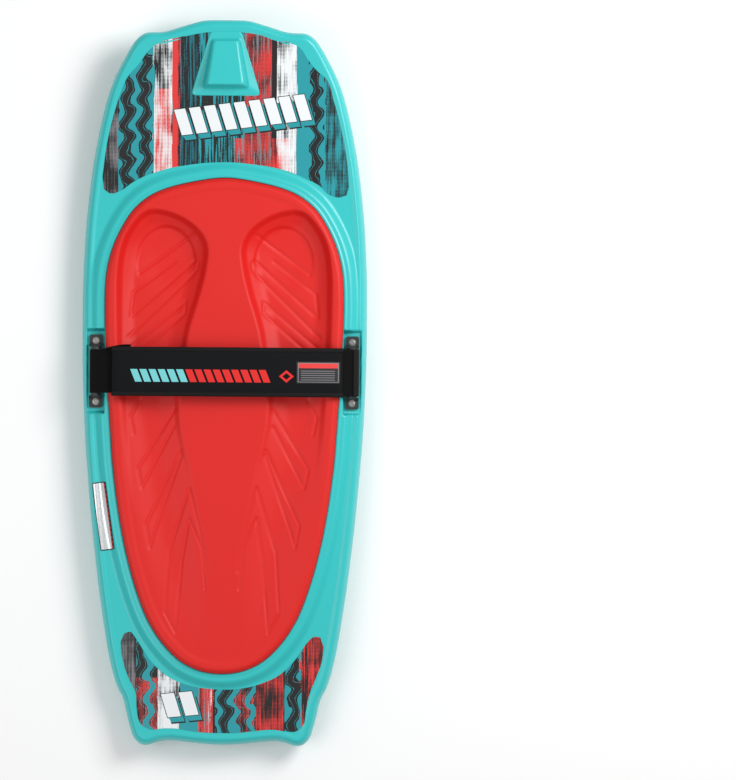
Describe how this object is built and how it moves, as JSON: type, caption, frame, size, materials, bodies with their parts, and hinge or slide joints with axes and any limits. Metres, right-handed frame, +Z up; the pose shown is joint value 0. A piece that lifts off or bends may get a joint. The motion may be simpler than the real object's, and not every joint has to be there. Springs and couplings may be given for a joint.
{
  "type": "kneeboard",
  "caption": "Foam-filled kneeboard with a moulded knee pad, a tow-handle hook at the nose and a padded hook-and-loop leg strap that swings open.",
  "frame": {"origin": "centre of the plan box, on the plane under the flat of the hull", "axes": "+Z up out of the deck, -Y towards the nose, +Y towards the tail, +X towards the side of the anchor tab"},
  "size_m": [0.5, 1.2703, 0.1049],
  "materials": {
    "shell_plastic": "satin moulded",
    "core_foam": "closed cell foam",
    "pad_foam": "matt moulded foam",
    "adhesive": "clear",
    "deck_film": "printed film",
    "foil": "printed foil",
    "bracket_nylon": "moulded nylon",
    "screw_steel": "stainless",
    "insert_brass": "knurled",
    "webbing": "woven",
    "padding_foam": "soft foam",
    "cover_cloth": "knitted",
    "binding_tape": "ribbed",
    "fastener_loop": "brushed pile",
    "fastener_hook": "hooked",
    "label_print": "woven patch"
  },
  "bodies": {
    "board": {"deck_shell": "shell_plastic", "tow_hook": "shell_plastic", "hull_shell": "shell_plastic", "foam_core": "core_foam", "knee_pad": "pad_foam", "pad_adhesive": "adhesive", "nose_decal": "deck_film", "tail_decal": "deck_film", "rail_label": "foil", "left_bracket": "bracket_nylon", "right_bracket": "bracket_nylon", "fill_plug": "shell_plastic", "vent_plug": "shell_plastic", "left_front_washer": "screw_steel", "left_front_screw": "screw_steel", "left_front_insert": "insert_brass", "left_rear_washer": "screw_steel", "left_rear_screw": "screw_steel", "left_rear_insert": "insert_brass", "right_front_washer": "screw_steel", "right_front_screw": "screw_steel", "right_front_insert": "insert_brass", "right_rear_washer": "screw_steel", "right_rear_screw": "screw_steel", "right_rear_insert": "insert_brass"},
    "strap": {"strap_webbing": "webbing", "bar_sleeve": "cover_cloth", "strap_foam": "padding_foam", "strap_cover": "cover_cloth", "front_binding": "binding_tape", "rear_binding": "binding_tape", "loop_fastener": "fastener_loop", "strap_label": "label_print"},
    "tab": {"anchor_tab": "webbing", "hook_fastener": "fastener_hook"}
  },
  "joints": [
    {"name": "strap_swing", "type": "hinge", "parent": "board", "child": "strap", "pos_m": [-0.2245, -0.021, 0.0635], "axis": [0, -1, 0], "range_deg": [0, 145]},
    {"name": "tab_swing", "type": "hinge", "parent": "board", "child": "tab", "pos_m": [0.2245, -0.021, 0.0635], "axis": [0, 1, 0], "range_deg": [0, 101.5]}
  ],
  "couplings": [
    {"joint": "tab_swing", "follows": "strap_swing", "ratio": 0.7}
  ]
}
